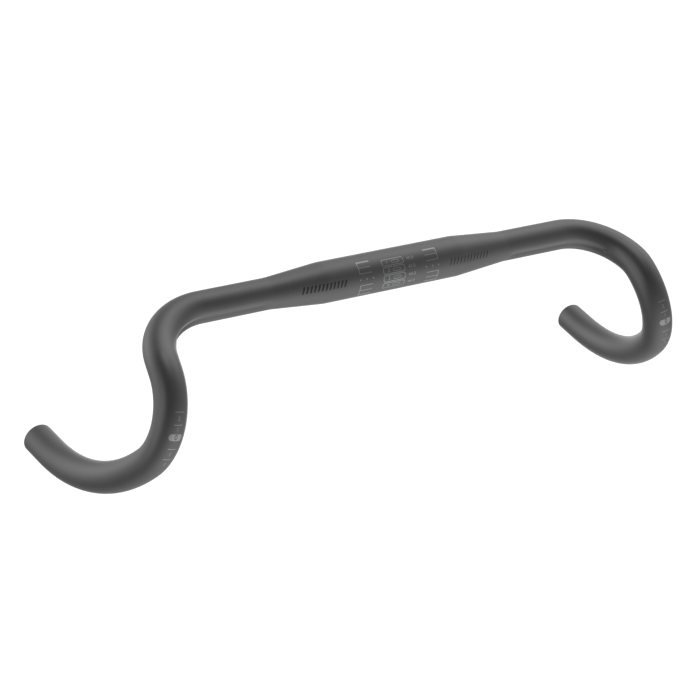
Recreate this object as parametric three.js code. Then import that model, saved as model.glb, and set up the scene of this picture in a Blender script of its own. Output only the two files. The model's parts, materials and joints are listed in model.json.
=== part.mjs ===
// Drop handlebar: one bent, butted aluminium tube and the marks printed on it.
// Millimetres, +Z up. The origin is the centre of the stem clamp zone, on the tube's axis.
// +X runs along the tops to the rider's left, +Y points back to the rider, as the drop ends do.
import * as THREE from 'three';

const degrees = Math.PI / 180;

// ---- centreline of one half, from the middle of the bar to the open end
const topHalf = 161;                    // straight run of the tops
const cornerRadius = 50;                // top corner, bent in the plane of the tops
const cornerTurn = 78 * degrees;
const blendRadius = 40;                 // short bend from the ramp into the plane of the hook
const flare = 16 * degrees;             // hook plane leans outwards by this much
const hookStart = 16 * degrees;         // slope of the ramp where the hook begins
const hookRadius = 45;                  // tight upper hook
const hookMiddle = 112 * degrees;
const dropRadius = 145;                 // long sweep of the drop
const hookEnd = 164 * degrees;
const endStraight = 20;                 // straight last stretch

// ---- tube section
const clampRadius = 15.9;               // 31.8 mm stem clamp zone
const clampHalf = 60;
const gripRadius = 12;                  // 24 mm grips
const taperEnd = 105;
const clampWall = 2.0;                  // butted wall, thicker at the clamp
const gripWall = 1.6;
const endChamfer = 0.4;

// ---- pressed cable groove on the front of each top
const grooveAngle = -2.5 * degrees;     // centre of the groove, up from straight ahead
const grooveHalf = 31 * degrees;
const grooveDepth = 1.75;
const grooveStart = 105;
const grooveEnd = 214;
const grooveRamp = 9;                   // length over which each end of it fades

// ---- facets
const groovePanels = 8;
const plainPanels = 20;
const cornerStep = 8 * degrees;
const sweepStep = 6 * degrees;

// ---- printed marks
const inkLift = 0.06;                   // gap under the film
const inkThickness = 0.14;
const lineWidth = 0.55;
const boldWidth = 1.1;
const gaugeCentre = 1.65;               // middle of the clamp print along X
const gaugeAngle = 33 * degrees;        // its middle line, up from straight ahead
const gaugeStep = 16.5 * degrees;       // from one tick to the next
const gaugeHalf = 35.05;                // out to the spine of each gauge
const gaugeTick = 10.8;
const gaugeDotPitch = 5.6;
const boxWidth = 19.6;
const boxHeight = 5.6;
const boxCorner = 1.7;
const boxPitch = 22.6 * degrees;
const boxOffset = -4.9;                 // middle of the boxes from the middle of the print
const badgeCentre = 65;
const badgeLength = 38;
const badgeHeight = 5.8;
const leverZero = 283.3;                // lever scale's zero, as a length along the centreline
const leverPitch = 7.3;
const leverTick = 7.2;
const leverOutboard = 0.5;              // the scale sits this far outboard of the middle of the hook's face
const zeroLength = 11;
const zeroWidth = 4;
const inkTurn = 5.5 * degrees;          // longest step of a film round the tube

const aluminium = new THREE.MeshStandardMaterial({ color: 0x3b3c3e, roughness: 0.6, metalness: 0.6 });
const paleInk = new THREE.MeshStandardMaterial({ color: 0xb4b6b9, roughness: 0.6, metalness: 0 });
const darkInk = new THREE.MeshStandardMaterial({ color: 0x151617, roughness: 0.35, metalness: 0 });

// ---- centreline
const across = new THREE.Vector3(1, 0, 0);
const forward = new THREE.Vector3(0, -1, 0);
const upward = new THREE.Vector3(0, 0, 1);
const inboard = new THREE.Vector3(Math.sin(flare), 0, -Math.cos(flare));

function hookDirection(angle) {
  return forward.clone().multiplyScalar(Math.cos(angle)).addScaledVector(inboard, Math.sin(angle));
}

// A straight run or a planar bend. Each keeps the tube's upward and forward directions with it.
function straightRun(start, length) {
  const at = (run) => ({ ...start, point: start.point.clone().addScaledVector(start.tangent, run) });
  return { length, at, steps: 1 };
}

function bend(start, endTangent, radius, step) {
  const axis = new THREE.Vector3().crossVectors(start.tangent, endTangent).normalize();
  const toCentre = new THREE.Vector3().crossVectors(axis, start.tangent);
  const centre = start.point.clone().addScaledVector(toCentre, radius);
  const turn = start.tangent.angleTo(endTangent);
  const at = (run) => {
    const turned = new THREE.Quaternion().setFromAxisAngle(axis, run / radius);
    return {
      point: toCentre.clone().multiplyScalar(-radius).applyQuaternion(turned).add(centre),
      tangent: start.tangent.clone().applyQuaternion(turned),
      up: start.up.clone().applyQuaternion(turned),
      front: start.front.clone().applyQuaternion(turned),
    };
  };
  return { length: turn * radius, at, steps: Math.ceil(turn / step) };
}

function makeCentreline() {
  const runs = [];
  let state = { point: new THREE.Vector3(), tangent: across, up: upward, front: forward };
  const add = (piece) => {
    runs.push(piece);
    state = piece.at(piece.length);
  };
  const rampDirection = new THREE.Vector3(Math.cos(cornerTurn), -Math.sin(cornerTurn), 0);
  add(straightRun(state, topHalf));
  add(bend(state, rampDirection, cornerRadius, cornerStep));
  add(bend(state, hookDirection(hookStart), blendRadius, cornerStep * 1.2));
  add(bend(state, hookDirection(hookMiddle), hookRadius, cornerStep));
  add(bend(state, hookDirection(hookEnd), dropRadius, sweepStep));
  add(straightRun(state, endStraight));
  return runs;
}

const runs = makeCentreline();
const halfLength = runs.reduce((sum, piece) => sum + piece.length, 0);

// Position, tangent, up and front of the tube at a length along one half.
function stationAt(length) {
  let rest = length;
  for (const piece of runs) {
    if (rest <= piece.length || piece === runs[runs.length - 1]) return piece.at(rest);
    rest -= piece.length;
  }
}

// ---- surface
function between(value, low, high, atLow, atHigh) {
  return atLow + (atHigh - atLow) * THREE.MathUtils.clamp((value - low) / (high - low), 0, 1);
}

function outerRadius(length) {
  return between(length, clampHalf, taperEnd, clampRadius, gripRadius);
}

function wallThickness(length) {
  return between(length, clampHalf, taperEnd, clampWall, gripWall);
}

function groove(length, angle) {
  const offset = Math.abs(angle - grooveAngle);
  if (offset >= grooveHalf) return 0;
  const startFade = THREE.MathUtils.smoothstep(length, grooveStart, grooveStart + grooveRamp);
  const endFade = 1 - THREE.MathUtils.smoothstep(length, grooveEnd - grooveRamp, grooveEnd);
  const wave = (1 + Math.cos(Math.PI * offset / grooveHalf)) / 2;
  return grooveDepth * startFade * endFade * wave * wave;
}

// A point at an angle up from the tube's front, a radius out from its axis; side is +1 or -1 in X.
function around(length, angle, radius, side = 1) {
  const { point, up, front } = stationAt(length);
  const place = point.clone()
    .addScaledVector(front, radius * Math.cos(angle))
    .addScaledVector(up, radius * Math.sin(angle));
  place.x *= side;
  return place;
}

// ---- closed meshes
function closedGeometry(points, triangles) {
  let volume = 0;
  const cross = new THREE.Vector3();
  for (const [a, b, c] of triangles) volume += points[a].dot(cross.crossVectors(points[b], points[c]));
  const outward = volume > 0 ? triangles : triangles.map(([a, b, c]) => [a, c, b]);
  const geometry = new THREE.BufferGeometry().setFromPoints(points);
  geometry.setIndex(outward.flat());
  geometry.computeVertexNormals();
  return geometry;
}

function quad(triangles, a, b, c, d) {
  triangles.push([a, b, c], [a, c, d]);
}

function sectionAngles() {
  const angles = [];
  const plainTurn = 2 * Math.PI - 2 * grooveHalf;
  for (let panel = 0; panel < groovePanels; panel += 1) {
    angles.push(grooveAngle - grooveHalf + (2 * grooveHalf * panel) / groovePanels);
  }
  for (let panel = 0; panel < plainPanels; panel += 1) {
    angles.push(grooveAngle + grooveHalf + (plainTurn * panel) / plainPanels);
  }
  return angles;
}

// Lengths along one half where the tube has a ring of corners.
function ringLengths() {
  const lengths = [clampHalf, taperEnd, grooveStart + grooveRamp / 3, grooveStart + (2 * grooveRamp) / 3];
  lengths.push(grooveStart + grooveRamp);
  let start = 0;
  for (const piece of runs) {
    for (let step = 1; step <= piece.steps; step += 1) {
      lengths.push(start + (piece.length * step) / piece.steps);
    }
    start += piece.length;
  }
  lengths.push(halfLength - endChamfer);
  return lengths.sort((a, b) => a - b);
}

function tubeGeometry() {
  const angles = sectionAngles();
  const half = ringLengths();
  const stations = [...half.map((length) => [length, -1]).reverse(), ...half.map((length) => [length, 1])];
  const count = angles.length;
  const points = [];
  for (const inside of [false, true]) {
    for (const [length, side] of stations) {
      const chamfer = !inside && length === halfLength ? endChamfer : 0;
      const radius = outerRadius(length) - (inside ? wallThickness(length) : chamfer);
      for (const angle of angles) points.push(around(length, angle, radius - groove(length, angle), side));
    }
  }
  const triangles = [];
  const corner = (inside, ring, panel) => ((inside ? stations.length : 0) + ring) * count + (panel % count);
  for (let panel = 0; panel < count; panel += 1) {
    for (let ring = 0; ring < stations.length - 1; ring += 1) {
      quad(triangles, corner(false, ring, panel), corner(false, ring + 1, panel),
        corner(false, ring + 1, panel + 1), corner(false, ring, panel + 1));
      quad(triangles, corner(true, ring, panel), corner(true, ring, panel + 1),
        corner(true, ring + 1, panel + 1), corner(true, ring + 1, panel));
    }
    const last = stations.length - 1;
    quad(triangles, corner(false, 0, panel), corner(false, 0, panel + 1),
      corner(true, 0, panel + 1), corner(true, 0, panel));
    quad(triangles, corner(false, last, panel), corner(true, last, panel),
      corner(true, last, panel + 1), corner(false, last, panel + 1));
  }
  return closedGeometry(points, triangles);
}

// A film over the filled cells of a grid. place(row, column, lift) gives a corner of the grid.
// With loop set, the last row joins the first.
function filmGeometry(rows, columns, place, { loop = false, filled = () => true } = {}) {
  const corners = new Map();
  const points = [];
  const wrap = (row) => (loop ? (row + rows) % rows : row);
  const corner = (row, column, top) => {
    const key = `${wrap(row)} ${column} ${top}`;
    if (!corners.has(key)) {
      corners.set(key, points.length);
      points.push(place(wrap(row), column, top ? inkLift + inkThickness : inkLift));
    }
    return corners.get(key);
  };
  const has = (row, column) => {
    if (column < 0 || column >= columns) return false;
    if (!loop && (row < 0 || row >= rows)) return false;
    return filled(wrap(row), column);
  };
  const triangles = [];
  const wall = (r0, c0, r1, c1) => {
    quad(triangles, corner(r0, c0, false), corner(r1, c1, false), corner(r1, c1, true), corner(r0, c0, true));
  };
  for (let row = 0; row < rows; row += 1) {
    for (let column = 0; column < columns; column += 1) {
      if (!has(row, column)) continue;
      quad(triangles, corner(row, column, true), corner(row + 1, column, true),
        corner(row + 1, column + 1, true), corner(row, column + 1, true));
      quad(triangles, corner(row, column, false), corner(row, column + 1, false),
        corner(row + 1, column + 1, false), corner(row + 1, column, false));
      if (!has(row, column - 1)) wall(row, column, row + 1, column);
      if (!has(row, column + 1)) wall(row + 1, column + 1, row, column + 1);
      if (!has(row - 1, column)) wall(row, column + 1, row, column);
      if (!has(row + 1, column)) wall(row + 1, column, row + 1, column + 1);
    }
  }
  return closedGeometry(points, triangles);
}

// ---- the parts
const handlebar = new THREE.Group();
handlebar.name = 'handlebar';
// Levels the drop ends: the ramps, drawn level above, then fall a little towards the front.
handlebar.rotation.x = Math.atan2(Math.cos(flare) * Math.sin(hookEnd), -Math.cos(hookEnd));

function addPart(name, geometry, material) {
  const mesh = new THREE.Mesh(geometry, material);
  mesh.name = name;
  handlebar.add(mesh);
}

const sides = [['left', 1], ['right', -1]];

// A point of the clamp print: x along the bar, height along the surface from the print's middle line.
function onClamp(x, height, lift) {
  const side = x < 0 ? -1 : 1;
  return around(Math.abs(x), gaugeAngle + height / clampRadius, outerRadius(Math.abs(x)) + lift, side);
}

// Edges of the bands between low and high, no longer than the step of a film round the tube.
function bands(low, high, radius) {
  const count = Math.max(1, Math.ceil((high - low) / (inkTurn * radius)));
  return Array.from({ length: count }, (_, band) => low + ((high - low) * (band + 1)) / count);
}

// A spine with three ticks: the tick at each multiple of the gauge step from first to first + 2.
function addGaugeComb(name, first, side) {
  const step = gaugeStep * clampRadius;
  const edges = [first * step - lineWidth / 2];
  const isTick = [];
  for (let tick = first; tick <= first + 2; tick += 1) {
    const width = Math.abs(tick) === 3 ? boldWidth : lineWidth;
    if (tick > first) {
      const gap = bands(edges[edges.length - 1], tick * step - width / 2, clampRadius);
      gap.forEach((edge) => {
        edges.push(edge);
        isTick.push(false);
      });
    } else {
      edges[0] = tick * step - width / 2;
    }
    edges.push(tick * step + width / 2);
    isTick.push(true);
  }
  const columns = [gaugeHalf + lineWidth / 2, gaugeHalf - lineWidth / 2, gaugeHalf - gaugeTick];
  const place = (row, column, lift) => onClamp(gaugeCentre + side * columns[column], edges[row], lift);
  const filled = (row, column) => column === 0 || isTick[row];
  addPart(name, filmGeometry(isTick.length, 2, place, { filled }), paleInk);
}

function addGaugeDots(sideName, side) {
  const dotSides = 8;
  const radius = 0.6;
  for (let dot = 0; dot < 3; dot += 1) {
    const middle = gaugeCentre + side * (gaugeHalf - dot * gaugeDotPitch);
    const place = (row, column, lift) => {
      const angle = (2 * Math.PI * row) / dotSides;
      const reach = column === 0 ? radius : radius / 4;
      return onClamp(middle + reach * Math.cos(angle), reach * Math.sin(angle), lift);
    };
    addPart(`${sideName}_gauge_dot_${dot + 1}`, filmGeometry(dotSides, 1, place, { loop: true }), paleInk);
  }
}

function roundedOutline(width, height, radius) {
  const cornerPanels = 3;
  const points = [];
  for (const [quarter, xSign, ySign] of [[0, 1, 1], [1, -1, 1], [2, -1, -1], [3, 1, -1]]) {
    for (let panel = 0; panel <= cornerPanels; panel += 1) {
      const angle = (quarter + panel / cornerPanels) * (Math.PI / 2);
      points.push([
        xSign * (width / 2 - radius) + radius * Math.cos(angle),
        ySign * (height / 2 - radius) + radius * Math.sin(angle),
      ]);
    }
  }
  return points;
}

// Rounded outline boxes, one above the other, in the middle of the clamp print.
function addBoxes() {
  const outlines = [0, lineWidth].map((inset) => (
    roundedOutline(boxWidth - 2 * inset, boxHeight - 2 * inset, boxCorner - inset)));
  for (let box = 0; box < 4; box += 1) {
    const height = (1.5 - box) * boxPitch * clampRadius;
    const place = (row, column, lift) => {
      const [x, y] = outlines[column][row];
      return onClamp(gaugeCentre + boxOffset + x, height + y, lift);
    };
    const geometry = filmGeometry(outlines[0].length, 1, place, { loop: true });
    addPart(`print_box_${box + 1}`, geometry, paleInk);
  }
}

// A plain dark panel on each shoulder of the clamp zone, over the start of the taper.
function addBadge(sideName, side) {
  const edges = [-badgeHeight / 2, ...bands(-badgeHeight / 2, badgeHeight / 2, gripRadius)];
  const columns = [-badgeLength / 2, clampHalf - badgeCentre, badgeLength / 2];
  const place = (row, column, lift) => onClamp(side * (badgeCentre + columns[column]), edges[row], lift);
  addPart(`${sideName}_badge`, filmGeometry(edges.length - 1, 2, place), darkInk);
}

// Angle of the outside of the hook, up from the tube's front as the frame carries it there.
function hookFaceAngle() {
  const { tangent, up, front } = stationAt(leverZero);
  const hookSide = new THREE.Vector3().crossVectors(forward, inboard);
  const face = new THREE.Vector3().crossVectors(hookSide, tangent);
  return Math.atan2(-face.dot(up), -face.dot(front));
}

const scaleAngle = hookFaceAngle() + leverOutboard / gripRadius;

// A mark on the outside of a hook: length along the tube, width round it, the ends drawn in by endRound.
function addHookMark(name, side, middle, length, width, endRound) {
  const edges = [-width / 2, ...bands(-width / 2, width / 2, gripRadius)];
  const place = (row, column, lift) => {
    const toEnd = Math.max(0, Math.abs(edges[row]) - (width / 2 - endRound)) / Math.max(endRound, 1e-6);
    const reach = (length / 2) * Math.sqrt(1 - 0.96 * toEnd * toEnd);
    return around(middle + (column - 1) * reach, scaleAngle + edges[row] / gripRadius, gripRadius + lift, side);
  };
  addPart(name, filmGeometry(edges.length - 1, 2, place), paleInk);
}

function addLeverScale(sideName, side) {
  addHookMark(`${sideName}_lever_zero`, side, leverZero, zeroWidth, zeroLength, zeroWidth / 2);
  [-2, -1, 1, 2].forEach((place, index) => {
    addHookMark(`${sideName}_lever_tick_${index + 1}`, side, leverZero + place * leverPitch,
      lineWidth, leverTick, 0);
  });
}

addPart('bar_tube', tubeGeometry(), aluminium);
addBoxes();
for (const [sideName, side] of sides) {
  addGaugeComb(`${sideName}_gauge_upper`, 1, side);
  addGaugeComb(`${sideName}_gauge_lower`, -3, side);
  addGaugeDots(sideName, side);
  addBadge(sideName, side);
  addLeverScale(sideName, side);
}

export default handlebar;
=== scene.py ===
import json
import math

import bpy
from mathutils import Matrix, Quaternion, Vector


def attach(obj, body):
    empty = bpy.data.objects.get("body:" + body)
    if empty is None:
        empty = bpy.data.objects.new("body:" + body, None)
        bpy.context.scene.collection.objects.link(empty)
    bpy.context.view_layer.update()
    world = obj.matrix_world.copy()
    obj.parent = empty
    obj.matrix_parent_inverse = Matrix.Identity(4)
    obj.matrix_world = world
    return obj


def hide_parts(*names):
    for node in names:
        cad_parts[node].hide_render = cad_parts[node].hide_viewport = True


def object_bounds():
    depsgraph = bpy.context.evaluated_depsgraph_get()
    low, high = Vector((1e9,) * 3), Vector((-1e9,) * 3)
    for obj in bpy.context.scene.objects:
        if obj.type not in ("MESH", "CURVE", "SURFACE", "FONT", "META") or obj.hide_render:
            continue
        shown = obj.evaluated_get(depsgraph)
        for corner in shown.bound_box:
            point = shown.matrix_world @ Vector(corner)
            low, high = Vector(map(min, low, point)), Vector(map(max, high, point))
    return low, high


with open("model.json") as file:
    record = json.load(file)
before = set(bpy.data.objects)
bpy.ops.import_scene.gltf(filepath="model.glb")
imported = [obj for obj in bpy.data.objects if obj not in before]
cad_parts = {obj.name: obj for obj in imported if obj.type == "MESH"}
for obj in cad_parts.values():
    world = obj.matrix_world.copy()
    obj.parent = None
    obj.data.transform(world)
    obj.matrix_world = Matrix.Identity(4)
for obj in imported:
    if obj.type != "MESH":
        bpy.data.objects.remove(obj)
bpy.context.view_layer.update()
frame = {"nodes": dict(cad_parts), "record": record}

degree = math.pi / 180
sides = {"left": 1, "right": -1}  # the rider's sides and their signs along the bar
weldDistance = 0.000002
nodeGap = (190, 260)  # between neighbours in the node editor
nodesPerRow = 12
slots = [material["slot"] for material in frame["record"]["materials"]]
print("frame loaded:", len(frame["nodes"]), "nodes, slots", slots)


# small helpers for node trees

def plug(tree, socket, value):
    if isinstance(value, bpy.types.NodeSocket):
        tree.links.new(value, socket)
    elif value is not None:
        socket.default_value = value


def addNode(tree, kind, inputs=None, **settings):
    made = tree.nodes.new(kind)
    row, column = divmod(len(tree.nodes), nodesPerRow)
    made.location = (nodeGap[0] * column, -nodeGap[1] * row)
    for name, value in settings.items():
        setattr(made, name, value)
    for name, value in (inputs or {}).items():
        plug(tree, made.inputs[name], value)
    return made


def newTree(name, kind, inputs, outputs):
    # returns the tree, its inputs by name and a function that links its outputs
    tree = bpy.data.node_groups.new(name, kind)

    def addSocket(socketName, way, socketKind):
        return tree.interface.new_socket(name=socketName, in_out=way, socket_type="NodeSocket" + socketKind)

    for socketName, socketKind, *preset in inputs:
        made = addSocket(socketName, "INPUT", socketKind)
        if preset:
            made.default_value = preset[0]
    for socketName, socketKind in outputs:
        addSocket(socketName, "OUTPUT", socketKind)
    given = addNode(tree, "NodeGroupInput").outputs
    result = addNode(tree, "NodeGroupOutput")

    def finishTree(**values):
        for socketName, value in values.items():
            plug(tree, result.inputs[socketName], value)
        return tree

    return tree, given, finishTree


def useGroup(tree, groupTree, inputs):
    kind = "GeometryNodeGroup" if tree.bl_idname == "GeometryNodeTree" else "ShaderNodeGroup"
    return addNode(tree, kind, inputs, node_tree=groupTree).outputs


def calc(tree, operation, *values, **settings):
    made = addNode(tree, "ShaderNodeMath", dict(enumerate(values)), operation=operation, **settings)
    return made.outputs[0]


def vectorCalc(tree, operation, *values):
    made = addNode(tree, "ShaderNodeVectorMath", dict(enumerate(values)), operation=operation)
    return made.outputs["Value"] if operation == "DOT_PRODUCT" else made.outputs["Vector"]


def scaled(tree, vector, factor):
    made = addNode(tree, "ShaderNodeVectorMath", {0: vector, "Scale": factor}, operation="SCALE")
    return made.outputs["Vector"]


def combined(tree, **axes):
    return addNode(tree, "ShaderNodeCombineXYZ", axes).outputs[0]


def separated(tree, vector):
    return addNode(tree, "ShaderNodeSeparateXYZ", {0: vector}).outputs


def meshPlace(tree):
    return separated(tree, addNode(tree, "GeometryNodeInputPosition").outputs[0])


def objectShape(tree, source):
    return addNode(tree, "GeometryNodeObjectInfo", {"Object": source}).outputs["Geometry"]


def weld(tree, *shapes):
    # joins shapes whose edges meet, and closes the seams
    joined = addNode(tree, "GeometryNodeJoinGeometry")
    for shape in shapes:
        tree.links.new(shape, joined.inputs[0])
    return addNode(tree, "GeometryNodeMergeByDistance", {
        "Geometry": joined.outputs[0], "Distance": weldDistance}).outputs[0]


def endTree(tree, geometry, material):
    # plain geometry with its material on it
    real = addNode(tree, "GeometryNodeRealizeInstances", {"Geometry": geometry}).outputs[0]
    return addNode(tree, "GeometryNodeSetMaterial", {"Geometry": real, "Material": material}).outputs[0]


def spaced(name):
    # tubeRadius -> Tube Radius
    return "".join(" " + letter if letter.isupper() else letter for letter in name).title()


def runTree(name, tree, values):
    # evaluates a geometry tree once and keeps its plain mesh
    holder = bpy.data.objects.new(name, bpy.data.meshes.new(name))
    bpy.context.scene.collection.objects.link(holder)
    modifier = holder.modifiers.new("shape", "NODES")
    modifier.node_group = tree
    for item in tree.interface.items_tree:
        if item.item_type == "SOCKET" and item.in_out == "INPUT" and item.name in values:
            modifier[item.identifier] = values[item.name]
    holder.update_tag()
    depsgraph = bpy.context.evaluated_depsgraph_get()
    mesh = bpy.data.meshes.new_from_object(
        holder.evaluated_get(depsgraph), preserve_all_data_layers=True, depsgraph=depsgraph)
    holder.modifiers.clear()
    holder.data = mesh
    mesh.name = name
    while mesh.materials and mesh.materials[0] is None:
        mesh.materials.pop(index=0)
    print("  ", name, len(mesh.polygons), "faces")
    return holder


def direction(azimuth, elevation):
    # in degrees, the azimuth from straight ahead towards the rider's left
    level = math.cos(elevation * degree)
    return Vector((
        math.sin(azimuth * degree) * level,
        -math.cos(azimuth * degree) * level,
        math.sin(elevation * degree)))


# camera

cameraPlace = {
    "aim": (-0.0358, -0.0147, -0.0555),
    "azimuth": -34.43,
    "elevation": 30.20,
    "roll": 6.40,
    "distance": 1.481,
    "lens": 100,
    "sensor": 36,
}


def addCamera(place):
    back = direction(place["azimuth"], place["elevation"])
    azimuth = place["azimuth"] * degree
    level = Vector((math.cos(azimuth), math.sin(azimuth), 0))
    turn = Quaternion(back, place["roll"] * degree)
    right = turn @ level
    up = turn @ back.cross(level)
    data = bpy.data.cameras.new("camera")
    data.lens = place["lens"]
    data.sensor_width = place["sensor"]
    camera = bpy.data.objects.new("camera", data)
    rotation = Matrix((right, up, back)).transposed().to_4x4()
    camera.matrix_world = Matrix.Translation(Vector(place["aim"]) + back * place["distance"]) @ rotation
    bpy.context.scene.collection.objects.link(camera)
    bpy.context.scene.camera = camera


addCamera(cameraPlace)
print("camera placed")


# centreline of one half, from the middle of the bar to the open end, in metres and degrees

lineSizes = {
    "tops": 0.161,
    "cornerRadius": 0.050,
    "cornerTurn": 78,
    "blendRadius": 0.040,
    "flare": 16,
    "hookStart": 16,
    "hookRadius": 0.045,
    "hookMiddle": 112,
    "dropRadius": 0.145,
    "hookEnd": 164,
    "endStraight": 0.020,
    "pointGap": 0.001,
}
flare = lineSizes["flare"] * degree
endSlope = lineSizes["hookEnd"] * degree
levelTurn = math.atan2(math.cos(flare) * math.sin(endSlope), -math.cos(endSlope))  # levels the drop ends


def hookHeading(slope):
    inboard = Vector((math.sin(flare), 0, -math.cos(flare)))
    return Vector((0, -1, 0)) * math.cos(slope * degree) + inboard * math.sin(slope * degree)


guides = []  # curves that only guide other pieces, and go at the end


def guideCurve(name, points, closed=False):
    data = bpy.data.curves.new(name, "CURVE")
    data.dimensions = "3D"
    spline = data.splines.new("POLY")
    spline.points.add(len(points) - 1)
    for splinePoint, point in zip(spline.points, points):
        splinePoint.co = (*point, 1)
    spline.use_cyclic_u = closed
    guides.append(bpy.data.objects.new(name, data))
    bpy.context.scene.collection.objects.link(guides[-1])
    return guides[-1]


def makeCentreline(sizes):
    points = [Vector((0, 0, 0))]
    heading = Vector((1, 0, 0))

    def goStraight(length):
        count = math.ceil(length / sizes["pointGap"])
        start = points[-1]
        points.extend(start + heading * (length * step / count) for step in range(1, count + 1))

    def goRound(newHeading, radius):
        axis = heading.cross(newHeading).normalized()
        toCentre = axis.cross(heading) * radius
        centre = points[-1] + toCentre
        turn = heading.angle(newHeading)
        count = math.ceil(turn * radius / sizes["pointGap"])
        for step in range(1, count + 1):
            points.append(centre - Quaternion(axis, turn * step / count) @ toCentre)
        return newHeading

    goStraight(sizes["tops"])
    cornerTurn = sizes["cornerTurn"] * degree
    heading = goRound(Vector((math.cos(cornerTurn), -math.sin(cornerTurn), 0)), sizes["cornerRadius"])
    heading = goRound(hookHeading(sizes["hookStart"]), sizes["blendRadius"])
    heading = goRound(hookHeading(sizes["hookMiddle"]), sizes["hookRadius"])
    heading = goRound(hookHeading(sizes["hookEnd"]), sizes["dropRadius"])
    goStraight(sizes["endStraight"])
    turn = Matrix.Rotation(levelTurn, 3, "X")
    points = [turn @ point for point in points]
    length = sum((b - a).length for a, b in zip(points, points[1:]))
    return guideCurve("centreline", points), length


centreline, halfLength = makeCentreline(lineSizes)
print("centreline", round(halfLength, 4), "m from the middle to each end")


# the tube's surface, shared by the tube and by everything printed on it

tubeSizes = {
    "clampRadius": 0.0159,
    "clampHalf": 0.060,
    "gripRadius": 0.012,
    "taperEnd": 0.105,
    "taperSoftness": 0.06,  # share of the taper that its two kinks round off
    "clampWall": 0.0020,
    "gripWall": 0.0016,
    "grooveAngle": -2.5 * degree - levelTurn,
    "grooveHalf": 31 * degree,
    "grooveDepth": 0.00175,
    "grooveStart": 0.105,
    "grooveEnd": 0.214,
    "grooveFade": 0.009,
}


def makePlaceGroup():
    # a point at a signed length from the middle, an angle up from the front, and a radius
    tree, given, finishTree = newTree(
        "placeOnBar", "GeometryNodeTree",
        [("Centreline", "Geometry"), ("Length", "Float"), ("Angle", "Float"), ("Radius", "Float")],
        [("Position", "Vector")])
    sample = addNode(tree, "GeometryNodeSampleCurve", {
        "Curves": given["Centreline"],
        "Length": calc(tree, "ABSOLUTE", given["Length"])}, mode="LENGTH").outputs
    up = vectorCalc(tree, "CROSS_PRODUCT", sample["Normal"], sample["Tangent"])
    outward = vectorCalc(
        tree, "ADD",
        scaled(tree, sample["Normal"], calc(tree, "COSINE", given["Angle"])),
        scaled(tree, up, calc(tree, "SINE", given["Angle"])))
    place = vectorCalc(tree, "ADD", sample["Position"], scaled(tree, outward, given["Radius"]))
    mirrored = calc(tree, "LESS_THAN", given["Length"], 0.0)
    side = calc(tree, "MULTIPLY_ADD", mirrored, -2.0, 1.0)  # 1 on the rider's left, -1 on the right
    return finishTree(Position=vectorCalc(tree, "MULTIPLY", place, combined(tree, X=side, Y=1.0, Z=1.0)))


def makeProfileGroup(sizes):
    # outer radius and wall of the tube at a signed length and an angle
    sockets = [("Length", "Float"), ("Angle", "Float")]
    sockets += [(spaced(name), "Float", size) for name, size in sizes.items()]
    tree, given, finishTree = newTree(
        "barProfile", "GeometryNodeTree", sockets, [("Radius", "Float"), ("Wall", "Float")])
    length = calc(tree, "ABSOLUTE", given["Length"])
    taper = calc(tree, "DIVIDE", calc(tree, "SUBTRACT", given["Taper End"], length),
                 calc(tree, "SUBTRACT", given["Taper End"], given["Clamp Half"]))
    taper = calc(tree, "SMOOTH_MIN", taper, 1.0, given["Taper Softness"])
    taper = calc(tree, "SMOOTH_MAX", taper, 0.0, given["Taper Softness"])

    def blendSize(thick, thin):
        return calc(tree, "MULTIPLY_ADD", taper, calc(tree, "SUBTRACT", thick, thin), thin)

    def fade(start, end):
        made = addNode(tree, "ShaderNodeMapRange", {
            "Value": length, "From Min": start, "From Max": end}, interpolation_type="SMOOTHSTEP")
        return made.outputs[0]

    offset = calc(tree, "ABSOLUTE", calc(tree, "SUBTRACT", given["Angle"], given["Groove Angle"]))
    share = calc(tree, "DIVIDE", offset, given["Groove Half"], use_clamp=True)
    cosine = calc(tree, "COSINE", calc(tree, "MULTIPLY", share, math.pi))
    wave = calc(tree, "MULTIPLY_ADD", cosine, 0.5, 0.5)  # 1 in the middle of the groove, 0 at its lips
    starting = fade(given["Groove Start"], calc(tree, "ADD", given["Groove Start"], given["Groove Fade"]))
    ending = fade(given["Groove End"], calc(tree, "SUBTRACT", given["Groove End"], given["Groove Fade"]))
    depth = calc(tree, "MULTIPLY", given["Groove Depth"], calc(tree, "MULTIPLY", starting, ending))
    groove = calc(tree, "MULTIPLY", calc(tree, "MULTIPLY", wave, wave), depth)
    return finishTree(
        Radius=calc(tree, "SUBTRACT", blendSize(given["Clamp Radius"], given["Grip Radius"]), groove),
        Wall=blendSize(given["Clamp Wall"], given["Grip Wall"]))


placeGroup = makePlaceGroup()
profileGroup = makeProfileGroup(tubeSizes)


# materials

grainShape = {
    "fineDetail": 3,
    "fineRoughness": 0.6,
    "pitScale": 0.55,  # as a share of the grain's scale
    "pitHeight": 0.5,
    "blotchDetail": 4,
    "blotchRoughness": 0.55,
}
finishLook = {
    "color": (0.114, 0.114, 0.116),
    "lighter": (0.179, 0.179, 0.183),
    "speckleShare": 0.6,  # of the change of tone, and the slow blotches have the rest
    "metallic": 1.0,
    "roughness": 0.38,
    "roughnessSpread": 0.05,
    "grainScale": 2600,
    "grainHeight": 0.16,
    "grainDepth": 0.0001,
    "blotchScale": 28,
}
boreLook = {
    "color": (0.20, 0.20, 0.205),
    "lineShade": 0.8,
    "linesAlong": 12,  # draw lines to a metre along the bore, and round it
    "linesRound": 900,
    "lineDetail": 2,
    "metallic": 0.9,
    "roughness": 0.55,
    "roughnessSpread": 0.2,
    "deepestShade": 0.04,  # share of the color that the painted shade leaves deep inside
    "reach": 0.011,
}
inkGrain = {"grainScale": 1800, "blotchScale": 300, "shade": 0.88, "roughnessSpread": 0.1}
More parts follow.
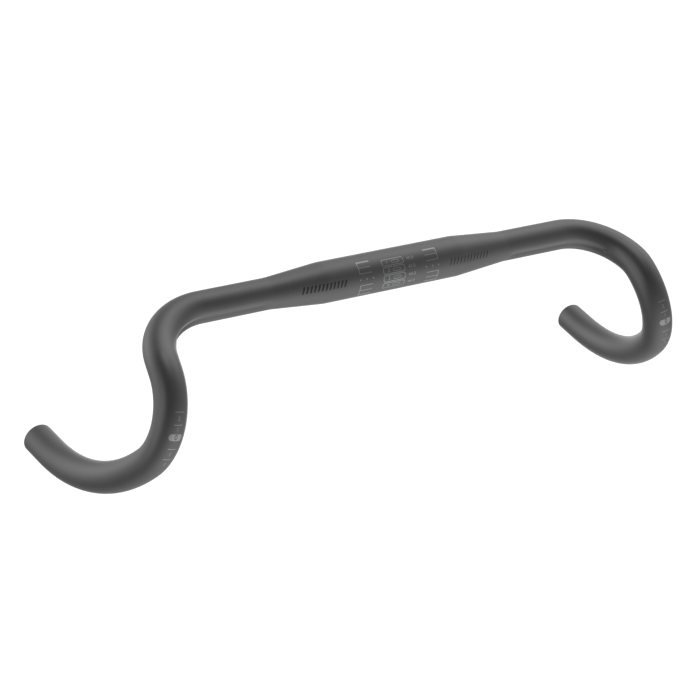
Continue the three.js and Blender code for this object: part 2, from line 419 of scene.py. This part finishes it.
paleLook = {"color": (0.345, 0.348, 0.352), "metallic": 1.0, "roughness": 0.28}
darkLook = {"color": (0.052, 0.052, 0.054), "metallic": 1.0, "roughness": 0.42}


def makeGrainGroup(shape):
    # fine blasted grain with a slow change of tone over it
    tree, given, finishTree = newTree(
        "blastedGrain", "ShaderNodeTree",
        [("Position", "Vector"), ("Grain Scale", "Float"), ("Blotch Scale", "Float")],
        [("Height", "Float"), ("Speckle", "Float"), ("Blotch", "Float")])

    def noise(scale, detail, roughness):
        made = addNode(tree, "ShaderNodeTexNoise", {
            "Vector": given["Position"], "Scale": scale, "Detail": detail, "Roughness": roughness})
        return made.outputs["Fac"]

    fine = noise(given["Grain Scale"], shape["fineDetail"], shape["fineRoughness"])
    blotch = noise(given["Blotch Scale"], shape["blotchDetail"], shape["blotchRoughness"])
    pitScale = calc(tree, "MULTIPLY", given["Grain Scale"], shape["pitScale"])
    pits = addNode(tree, "ShaderNodeTexVoronoi", {"Vector": given["Position"], "Scale": pitScale})
    height = calc(tree, "MULTIPLY_ADD", pits.outputs["Distance"], shape["pitHeight"], fine)
    return finishTree(Height=height, Speckle=fine, Blotch=blotch)


grainGroup = makeGrainGroup(grainShape)


def newMaterial(name):
    material = bpy.data.materials.new(name)
    material.use_nodes = True
    return material, material.node_tree


def setSurface(tree, values):
    shader = tree.nodes["Principled BSDF"]
    for name, value in values.items():
        plug(tree, shader.inputs[name], value)


def grainOver(tree, look):
    place = addNode(tree, "ShaderNodeTexCoord").outputs["Object"]
    return useGroup(tree, grainGroup, {
        "Position": place, "Grain Scale": look["grainScale"], "Blotch Scale": look["blotchScale"]})


def mixColor(tree, factor, dark, light):
    made = addNode(tree, "ShaderNodeMix", {
        "Factor": factor, "A": (*dark, 1), "B": (*light, 1)}, data_type="RGBA")
    return made.outputs["Result"]


def shaded(color, share):
    return [part * share for part in color]


def varied(tree, factor, middle, spread):
    return calc(tree, "MULTIPLY_ADD", factor, spread, middle - spread / 2)


def makeBarFinish(look):
    material, tree = newMaterial("barFinish")
    grain = grainOver(tree, look)
    blotch = calc(tree, "MULTIPLY", grain["Blotch"], 1 - look["speckleShare"])
    tone = calc(tree, "MULTIPLY_ADD", grain["Speckle"], look["speckleShare"], blotch)
    bump = addNode(tree, "ShaderNodeBump", {
        "Height": grain["Height"], "Strength": look["grainHeight"], "Distance": look["grainDepth"]})
    setSurface(tree, {
        "Base Color": mixColor(tree, tone, look["color"], look["lighter"]),
        "Metallic": look["metallic"],
        "Roughness": varied(tree, grain["Blotch"], look["roughness"], look["roughnessSpread"]),
        "Normal": bump.outputs["Normal"],
    })
    return material


def makeBareBore(look):
    # unfinished aluminium inside the tube, dull, with draw lines along it, and painted shade that darkens
    # its colour away from the mouths
    material, tree = newMaterial("bareBore")
    onTube = addNode(tree, "ShaderNodeUVMap", uv_map="barMap").outputs["UV"]
    stretched = vectorCalc(tree, "MULTIPLY", onTube, (look["linesAlong"], look["linesRound"], 1))
    lines = addNode(tree, "ShaderNodeTexNoise", {
        "Vector": stretched, "Scale": 1.0, "Detail": look["lineDetail"]}).outputs["Fac"]
    lined = mixColor(tree, lines, shaded(look["color"], look["lineShade"]), look["color"])
    # painted shade: the colour falls off over the reach in from each mouth, down to the deepest share
    along = calc(tree, "ABSOLUTE", separated(tree, onTube)["X"])
    depth = calc(tree, "DIVIDE", calc(tree, "SUBTRACT", along, halfLength), look["reach"])
    nearMouth = calc(tree, "EXPONENT", depth)
    paintedShade = calc(tree, "MULTIPLY_ADD", nearMouth, 1 - look["deepestShade"], look["deepestShade"])
    setSurface(tree, {
        "Base Color": scaled(tree, lined, paintedShade),
        "Metallic": look["metallic"],
        "Roughness": varied(tree, lines, look["roughness"], look["roughnessSpread"]),
    })
    return material


def makeInk(name, look):
    material, tree = newMaterial(name)
    grain = grainOver(tree, inkGrain)
    darkest = shaded(look["color"], inkGrain["shade"])
    setSurface(tree, {
        "Base Color": mixColor(tree, grain["Blotch"], darkest, look["color"]),
        "Metallic": look["metallic"],
        "Roughness": varied(tree, grain["Speckle"], look["roughness"], inkGrain["roughnessSpread"]),
    })
    return material


barFinish = makeBarFinish(finishLook)
bareBore = makeBareBore(boreLook)
paleInk = makeInk("paleInk", paleLook)
darkInk = makeInk("darkInk", darkLook)
print("materials made")


# the tube: one closed skin, outside, round each end and back through the bore

tubeMesh = {
    "outerRings": 560,
    "boreRings": 140,
    "sides": 96,
    "rimSteps": 13,
    "rimDepth": 0.0006,
    "rimSquareness": 0.6,  # 1 is a plain round edge, less is squarer
}


def makeTubeTree(shape):
    sockets = [("Centreline", "Object"), ("Half Length", "Float")]
    for name, size in shape.items():
        sockets.append((spaced(name), "Int" if isinstance(size, int) else "Float", size))
    sockets += [("Finish", "Material"), ("Bore Finish", "Material")]
    tree, given, finishTree = newTree("sweptTube", "GeometryNodeTree", sockets, [("Geometry", "Geometry")])
    line = objectShape(tree, given["Centreline"])
    rimStart = calc(tree, "SUBTRACT", given["Half Length"], given["Rim Depth"])

    def grid(width, columns):
        # a flat sheet: x is the way along the tube or over the rim, y the way round it
        made = addNode(tree, "GeometryNodeMeshGrid", {
            "Size X": width, "Size Y": 2 * math.pi, "Vertices X": columns,
            "Vertices Y": calc(tree, "ADD", given["Sides"], 1)})
        place = meshPlace(tree)
        return made.outputs["Mesh"], place["X"], place["Y"]

    def wrap(mesh, length, angle, radius, flip):
        flat = combined(tree, X=length, Y=calc(tree, "MULTIPLY", angle, tubeSizes["gripRadius"]))
        mapped = addNode(tree, "GeometryNodeStoreNamedAttribute", {
            "Geometry": mesh, "Name": "barMap", "Value": flat}, data_type="FLOAT2", domain="CORNER")
        place = useGroup(tree, placeGroup, {
            "Centreline": line, "Length": length, "Angle": angle, "Radius": radius})["Position"]
        bent = addNode(tree, "GeometryNodeSetPosition", {"Geometry": mapped.outputs[0], "Position": place})
        if flip:
            bent = addNode(tree, "GeometryNodeFlipFaces", {"Mesh": bent.outputs[0]})
        return bent.outputs[0]

    def skin(rings, inside):
        mesh, length, angle = grid(calc(tree, "MULTIPLY", rimStart, 2.0), rings)
        profile = useGroup(tree, profileGroup, {"Length": length, "Angle": angle})
        if not inside:
            return wrap(mesh, length, angle, profile["Radius"], False)
        bore = wrap(mesh, length, angle, calc(tree, "SUBTRACT", profile["Radius"], profile["Wall"]), True)
        marked = addNode(tree, "GeometryNodeStoreNamedAttribute", {
            "Geometry": bore, "Name": "inBore", "Value": True}, data_type="BOOLEAN", domain="FACE")
        return marked.outputs[0]

    def rim(side):
        # a squared half round over the end of the wall, from the outside to the bore
        mesh, turn, angle = grid(math.pi, given["Rim Steps"])
        turn = calc(tree, "ADD", turn, math.pi / 2)
        cosine = calc(tree, "COSINE", turn)

        def squared(value):
            return calc(tree, "POWER", calc(tree, "ABSOLUTE", value), given["Rim Squareness"])

        reach = calc(tree, "MULTIPLY", calc(tree, "SIGN", cosine), squared(cosine))
        bulge = squared(calc(tree, "SINE", turn))
        length = calc(tree, "MULTIPLY_ADD", bulge, given["Rim Depth"], rimStart)
        length = calc(tree, "MULTIPLY", length, side)
        profile = useGroup(tree, profileGroup, {"Length": length, "Angle": angle})
        halfWall = calc(tree, "MULTIPLY", profile["Wall"], 0.5)
        middle = calc(tree, "SUBTRACT", profile["Radius"], halfWall)
        return wrap(mesh, length, angle, calc(tree, "MULTIPLY_ADD", reach, halfWall, middle), side < 0)

    closed = weld(
        tree, skin(given["Outer Rings"], False), skin(given["Bore Rings"], True), rim(1.0), rim(-1.0))
    smooth = addNode(tree, "GeometryNodeSetShadeSmooth", {"Geometry": closed})
    finished = endTree(tree, smooth.outputs[0], given["Finish"])
    inBore = addNode(tree, "GeometryNodeInputNamedAttribute", {"Name": "inBore"}, data_type="BOOLEAN")
    finished = addNode(tree, "GeometryNodeSetMaterial", {
        "Geometry": finished, "Selection": inBore.outputs[0], "Material": given["Bore Finish"]})
    return finishTree(Geometry=finished.outputs[0])


def finishPiece(piece, slotName, *nodes):
    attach(piece, "root")
    if nodes:
        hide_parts(*nodes)


print("tube")
barTube = runTree("barTube", makeTubeTree(tubeMesh), {
    "Centreline": centreline, "Half Length": halfLength, "Finish": barFinish, "Bore Finish": bareBore,
    **{spaced(name): size for name, size in tubeMesh.items()}})
finishPiece(barTube, "bar_finish", "bar_tube")
barTube.visible_glossy = False  # blurred reflections show the soft light alone, not the bar's other bends


# print: flat outlines, filled, thickened and wrapped onto the tube

inkLook = {
    "lift": 0.00002,
    "sink": 0.00003,  # the film's underside is this far inside the tube's surface
    "outlineGap": 0.0005,
    "crispFold": 40 * degree,
    "cornerSteps": 10,
    "line": 0.00055,
    "fine": 0.0004,
    "bold": 0.0011,
}


def makePrintGroup(look):
    # outlines drawn as the reader sees them, x to the right and y up, wrapped round the bar
    tree, given, finishTree = newTree(
        "printOnBar", "GeometryNodeTree",
        [("Outlines", "Geometry"), ("Centreline", "Geometry"), ("Turn", "Float"),
         ("Middle Length", "Float"), ("Middle Angle", "Float"), ("Lift", "Float", look["lift"]),
         ("Sink", "Float", look["sink"]), ("Outline Gap", "Float", look["outlineGap"]),
         ("Crisp Fold", "Float", look["crispFold"]), ("Fine Levels", "Int", 1)],
        [("Geometry", "Geometry")])
    real = addNode(tree, "GeometryNodeRealizeInstances", {"Geometry": given["Outlines"]}).outputs[0]
    evenly = addNode(tree, "GeometryNodeResampleCurve", {
        "Curve": real, "Length": given["Outline Gap"]}, mode="LENGTH").outputs[0]
    filled = addNode(tree, "GeometryNodeFillCurve", {"Curve": evenly}).outputs[0]
    fine = addNode(tree, "GeometryNodeSubdivideMesh", {
        "Mesh": filled, "Level": given["Fine Levels"]}).outputs[0]
    flat = addNode(tree, "GeometryNodeTransform", {
        "Geometry": fine, "Rotation": combined(tree, Z=given["Turn"])}).outputs[0]
    thickness = calc(tree, "ADD", given["Lift"], given["Sink"])
    extruded = addNode(tree, "GeometryNodeExtrudeMesh", {
        "Mesh": flat, "Offset Scale": thickness, "Individual": False}).outputs["Mesh"]
    under = addNode(tree, "GeometryNodeFlipFaces", {"Mesh": flat}).outputs[0]
    closed = weld(tree, extruded, under)
    place = meshPlace(tree)
    length = calc(tree, "ADD", given["Middle Length"], place["X"])
    middle = useGroup(tree, profileGroup, {"Length": length, "Angle": given["Middle Angle"]})["Radius"]
    angle = calc(tree, "ADD", given["Middle Angle"], calc(tree, "DIVIDE", place["Y"], middle))
    radius = calc(tree, "ADD", middle, calc(tree, "SUBTRACT", place["Z"], given["Sink"]))
    target = useGroup(tree, placeGroup, {
        "Centreline": given["Centreline"], "Length": length, "Angle": angle, "Radius": radius})
    wrapped = addNode(tree, "GeometryNodeSetPosition", {"Geometry": closed, "Position": target["Position"]})
    smooth = addNode(tree, "GeometryNodeSetShadeSmooth", {"Geometry": wrapped.outputs[0]})
    fold = addNode(tree, "GeometryNodeInputMeshEdgeAngle").outputs["Unsigned Angle"]
    sharp = calc(tree, "GREATER_THAN", fold, given["Crisp Fold"])
    crisp = addNode(tree, "GeometryNodeSetShadeSmooth", {
        "Geometry": smooth.outputs[0], "Selection": sharp, "Shade Smooth": False}, domain="EDGE")
    return finishTree(Geometry=crisp.outputs[0])


printGroup = makePrintGroup(inkLook)


def startDrawing(name):
    # a tree that prints closed outlines, and a function that adds one, in metres from the print's middle
    tree, given, finishTree = newTree(
        name, "GeometryNodeTree",
        [("Centreline", "Object"), ("Turn", "Float"), ("Middle Length", "Float"),
         ("Middle Angle", "Float"), ("Lift", "Float"), ("Fine Levels", "Int", 1), ("Ink", "Material")],
        [("Geometry", "Geometry")])
    outlines = addNode(tree, "GeometryNodeJoinGeometry")
    line = objectShape(tree, given["Centreline"])
    passedOn = ("Turn", "Middle Length", "Middle Angle", "Lift", "Fine Levels")
    printed = useGroup(tree, printGroup, {
        "Outlines": outlines.outputs[0], "Centreline": line, **{name: given[name] for name in passedOn}})
    finishTree(Geometry=endTree(tree, printed["Geometry"], given["Ink"]))

    def draw(outline):
        tree.links.new(outline, outlines.inputs[0])

    return tree, draw


def moved(tree, shape, x, y):
    return addNode(tree, "GeometryNodeTransform", {"Geometry": shape, "Translation": (x, y, 0)}).outputs[0]


def boxOutline(tree, width, height, corner=0.0):
    shape = addNode(tree, "GeometryNodeCurvePrimitiveQuadrilateral", {"Width": width, "Height": height})
    if corner:
        shape = addNode(tree, "GeometryNodeFilletCurve", {
            "Curve": shape.outputs[0], "Radius": corner, "Count": inkLook["cornerSteps"]}, mode="POLY")
    return shape.outputs[0]


def slantedOutline(tree, width, height, slant):
    return addNode(tree, "GeometryNodeCurvePrimitiveQuadrilateral", {
        "Bottom Width": width, "Top Width": width, "Height": height, "Offset": slant},
        mode="TRAPEZOID").outputs[0]


def repeated(tree, shape, count, start, step, skip=None):
    # copies of one outline at even steps along a line, leaving out the one numbered skip
    points = addNode(tree, "GeometryNodeMeshLine", {
        "Count": count, "Start Location": (*start, 0), "Offset": (*step, 0)}).outputs[0]
    wanted = None
    if skip is not None:
        index = addNode(tree, "GeometryNodeInputIndex").outputs[0]
        away = calc(tree, "ABSOLUTE", calc(tree, "SUBTRACT", index, float(skip)))
        wanted = calc(tree, "GREATER_THAN", away, 0.5)
    return addNode(tree, "GeometryNodeInstanceOnPoints", {
        "Points": points, "Instance": shape, "Selection": wanted}).outputs[0]


def figure(tree, text, size):
    return addNode(tree, "GeometryNodeStringToCurves", {
        "String": text, "Size": size}, align_x="CENTER", align_y="MIDDLE").outputs[0]


def printPiece(name, tree, ink, slotName, place, nodes=(), layers=1, levels=1):
    # a wide mark takes more levels, so that it follows the curve of the bar all over
    piece = runTree(name, tree, {
        "Centreline": centreline, "Turn": place.get("turn", 0.0), "Middle Length": place["length"],
        "Middle Angle": place["angle"], "Lift": inkLook["lift"] * layers, "Fine Levels": levels,
        "Ink": ink})
    finishPiece(piece, slotName, *nodes)


# alignment gauges and boxes on the clamp zone

gauge = {
    "centre": 0.00165,  # the print sits a little to one side of the middle
    "angle": 33 * degree - levelTurn,
    "step": 16.5 * degree * tubeSizes["clampRadius"],
    "spine": 0.03505,
    "tick": 0.0108,
    "dots": 3,
    "dotPitch": 0.0056,
    "dotWidth": 0.0010,
    "dotHeight": 0.0014,
    "dotCorner": 0.48,  # as a share of the width
}
boxes = {
    "width": 0.0196,
    "height": 0.0056,
    "corner": 0.0017,
    "pitch": 22.6 * degree * tubeSizes["clampRadius"],
    "offset": -0.0049,
    "figures": ("1", "2", "3", "4"),
    "figureSize": 0.0042,
    "figureOffset": -0.0048,
    "slotWidth": 0.0070,
    "slotHeight": 0.0024,
    "slotCorner": 0.49,  # as a share of the height
    "slotOffset": 0.0025,
    "sideFigures": ("40.0", "42.0", "44.0", "46.0"),
    "sideFigureSize": 0.0038,
    "sideOffset": 0.0158,
}
boxCount = len(boxes["figures"])
topBox = (boxCount - 1) / 2  # in pitches above the middle of the print


def combCorners(side, way):
    # one outline round a spine and its three ticks, the outermost tick bold
    outer = gauge["spine"] + inkLook["line"] / 2
    inner = outer - inkLook["line"]
    tip = gauge["spine"] - gauge["tick"]
    corners = []
    for place, width in enumerate((inkLook["line"], inkLook["line"], inkLook["bold"]), 1):
        low = place * gauge["step"] - width / 2
        high = low + width
        corners += [(inner, low), (tip, low), (tip, high), (inner, high)]
    corners[0] = (outer, corners[0][1])
    corners[-1] = (outer, corners[-1][1])
    return [(side * x, way * y, 0) for x, y in corners]


def drawGauge(side):
    tree, draw = startDrawing("gauge")
    for way in (1, -1):
        draw(objectShape(tree, guideCurve("comb", combCorners(side, way), closed=True)))
    dot = boxOutline(tree, gauge["dotWidth"], gauge["dotHeight"], gauge["dotWidth"] * gauge["dotCorner"])
    draw(repeated(tree, dot, gauge["dots"], (side * gauge["spine"], 0), (-side * gauge["dotPitch"], 0)))
    return tree


def inEachBox(tree, shape, x):
    return repeated(tree, shape, boxCount, (x, topBox * boxes["pitch"]), (0, -boxes["pitch"]))


def drawBoxes():
    tree, draw = startDrawing("boxes")
    for inset in (0.0, inkLook["line"]):
        outline = boxOutline(
            tree, boxes["width"] - 2 * inset, boxes["height"] - 2 * inset, boxes["corner"] - inset)
        draw(inEachBox(tree, outline, boxes["offset"]))
    return tree


def drawBoxFigures():
    # a plain figure and a small outlined slot in each box, and a number beside it
    tree, draw = startDrawing("boxFigures")
    for row, (text, sideText) in enumerate(zip(boxes["figures"], boxes["sideFigures"])):
        y = (topBox - row) * boxes["pitch"]
        inside = figure(tree, text, boxes["figureSize"])
        beside = figure(tree, sideText, boxes["sideFigureSize"])
        draw(moved(tree, inside, boxes["offset"] + boxes["figureOffset"], y))
        draw(moved(tree, beside, boxes["offset"] + boxes["sideOffset"], y))
    for inset in (0.0, inkLook["fine"]):
        height = boxes["slotHeight"] - 2 * inset
        outline = boxOutline(tree, boxes["slotWidth"] - 2 * inset, height, height * boxes["slotCorner"])
        draw(inEachBox(tree, outline, boxes["offset"] + boxes["slotOffset"]))
    return tree


print("clamp print")
onClamp = {"length": gauge["centre"], "angle": gauge["angle"]}
for side, sign in sides.items():
    nodes = [f"{side}_gauge_{end}" for end in ("upper", "lower", "dot_1", "dot_2", "dot_3")]
    printPiece(side + "_gauge_print", drawGauge(sign), paleInk, "pale_print", onClamp, nodes)
nodes = [f"print_box_{box}" for box in range(1, boxCount + 1)]
printPiece("box_print", drawBoxes(), paleInk, "pale_print", onClamp, nodes)
printPiece("box_figures", drawBoxFigures(), paleInk, "pale_print", onClamp)


# plain dark hatching on the shoulders

hatch = {
    "length": 0.065,
    "angle": 33 * degree - levelTurn,
    "bars": 12,
    "pitch": 0.0032,
    "leftWidth": 0.0007,  # the rider's left carries the fainter mark
    "rightWidth": 0.0014,
    "height": 0.0054,
    "slant": 0.0018,
}


def drawHatch(width):
    tree, draw = startDrawing("hatch")
    bar = slantedOutline(tree, width, hatch["height"], hatch["slant"])
    start = -hatch["pitch"] * (hatch["bars"] - 1) / 2
    draw(repeated(tree, bar, hatch["bars"], (start, 0), (hatch["pitch"], 0)))
    return tree


for side, sign in sides.items():
    onShoulder = {"length": sign * hatch["length"], "angle": hatch["angle"]}
    printPiece(side + "_hatch", drawHatch(hatch[side + "Width"]), darkInk, "dark_print", onShoulder,
               [side + "_badge"])


# brake lever scales on the outside of the hooks

lever = {
    "zero": 0.2833,
    "pitch": 0.0073,
    "places": 5,  # the pill has the middle one, and ticks the rest
    "tick": 0.0072,
    "outboard": 0.0005,  # the scale sits this far outboard of the middle of the hook's face
    "pillWidth": 0.0110,
    "pillHeight": 0.0040,
    "pillCorner": 0.499,  # as a share of the height
    "zeroSize": 0.0046,
    "tickLine": 0.00036,
    "figureSize": 0.0034,
    "figures": {1.5: "2", 0.64: "1", -1.5: "1", -2.5: "2"},  # by place, in pitches from the zero
}


def outsideAngle(at):
    # the angle of the outside of the hook, from a front that the bends carry along with them
    points = [Vector(point.co[:3]) for point in centreline.data.splines[0].points]
    front = Vector((0, -1, 0))
    for before, point, after in zip(points, points[1:], points[2:]):
        front.rotate((point - before).rotation_difference(after - point))
        at -= (point - before).length
        if at <= 0:
            break
    tangent = (after - point).normalized()
    up = front.cross(tangent)
    hookSide = Matrix.Rotation(levelTurn, 3, "X") @ Vector((0, -1, 0)).cross(hookHeading(90))
    outside = tangent.cross(hookSide)
    return math.atan2(outside.dot(up), outside.dot(front))


def drawLeverTicks():
    tree, draw = startDrawing("leverTicks")
    tick = boxOutline(tree, lever["tick"], lever["tickLine"])
    zero = lever["places"] // 2
    draw(repeated(
        tree, tick, lever["places"], (0, zero * lever["pitch"]), (0, -lever["pitch"]), skip=zero))
    for place, text in lever["figures"].items():
        draw(moved(tree, figure(tree, text, lever["figureSize"]), 0, place * lever["pitch"]))
    return tree


def drawPill():
    tree, draw = startDrawing("pill")
    corner = lever["pillHeight"] * lever["pillCorner"]
    draw(boxOutline(tree, lever["pillWidth"], lever["pillHeight"], corner))
    return tree


def drawZero():
    tree, draw = startDrawing("zero")
    draw(figure(tree, "0", lever["zeroSize"]))
    return tree


print("lever scales")
hookAngle = outsideAngle(lever["zero"]) + lever["outboard"] / tubeSizes["gripRadius"]
ticksTree, pillTree, zeroTree = drawLeverTicks(), drawPill(), drawZero()
for side, sign in sides.items():
    onHook = {"length": sign * lever["zero"], "angle": hookAngle, "turn": sign * math.pi / 2}
    nodes = [f"{side}_lever_tick_{tick}" for tick in range(1, lever["places"])]
    printPiece(side + "_lever_ticks", ticksTree, paleInk, "pale_print", onHook, nodes)
    printPiece(side + "_lever_pill", pillTree, paleInk, "pale_print", onHook,
               [side + "_lever_zero"], levels=3)
    printPiece(side + "_lever_figure", zeroTree, darkInk, "dark_print", onHook, layers=2)
for guide in guides:
    bpy.data.objects.remove(guide)


# studio: a white light table well below the bar and a soft dome of panels round it

studio = {
    "floorDrop": 0.45,
    "floorSize": 14,
    "floorColor": (0.86, 0.86, 0.86),
    "floorRoughness": 0.9,
    "floorGlow": 0.62,
    "backdrop": 1.0,
    "dimLight": 0.113,
}
softPanels = {
    # azimuth, elevation, tightness, strength
    "rearLeft": (118.6, 39.7, 5.6, 1.26),
    "rearRight": (-150.0, 6.1, 6.4, 1.23),
    "rearLow": (142.9, -24.1, 11.5, 1.31),
    "overhead": (130.6, 83.4, 29.9, 1.08),
    "sideHigh": (-79.2, 22.4, 31.8, 0.73),
    "sideLow": (-96.3, -4.8, 14.4, 0.70),
    "frontLow": (27.7, -49.5, 2.2, 1.02),
}
white = (1, 1, 1, 1)


def addFloor():
    # the table glows by itself and stays out of reflections and shadows, so it comes out plain white
    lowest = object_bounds()[0][2] - studio["floorDrop"]
    half = studio["floorSize"] / 2
    corners = [(x * half, y * half, lowest) for x, y in ((-1, -1), (1, -1), (1, 1), (-1, 1))]
    mesh = bpy.data.meshes.new("lightTable")
    mesh.from_pydata(corners, [], [(0, 1, 2, 3)])
    floor = bpy.data.objects.new("lightTable", mesh)
    floor.visible_glossy = False
    floor.visible_shadow = False
    bpy.context.scene.collection.objects.link(floor)
    material, tree = newMaterial("whiteTable")
    setSurface(tree, {
        "Base Color": (*studio["floorColor"], 1),
        "Roughness": studio["floorRoughness"],
        "Emission Color": white,
        "Emission Strength": studio["floorGlow"],
    })
    mesh.materials.append(material)


def addDome():
    world = bpy.data.worlds.new("softDome")
    bpy.context.scene.world = world
    world.use_nodes = True
    tree = world.node_tree
    toward = addNode(tree, "ShaderNodeTexCoord").outputs["Generated"]
    light = studio["dimLight"]
    for azimuth, elevation, tightness, strength in softPanels.values():
        facing = vectorCalc(tree, "DOT_PRODUCT", toward, direction(azimuth, elevation))
        near = calc(tree, "MULTIPLY", calc(tree, "SUBTRACT", facing, 1.0), tightness)
        light = calc(tree, "MULTIPLY_ADD", calc(tree, "EXPONENT", near), strength, light)
    seen = addNode(tree, "ShaderNodeLightPath").outputs["Is Camera Ray"]
    light = addNode(tree, "ShaderNodeMix", {"Factor": seen, "A": light, "B": studio["backdrop"]})
    background = tree.nodes["Background"]
    plug(tree, background.inputs["Strength"], light.outputs["Result"])
    plug(tree, background.inputs["Color"], white)


addFloor()
addDome()
bpy.context.scene.view_settings.view_transform = "Standard"
print("studio set")
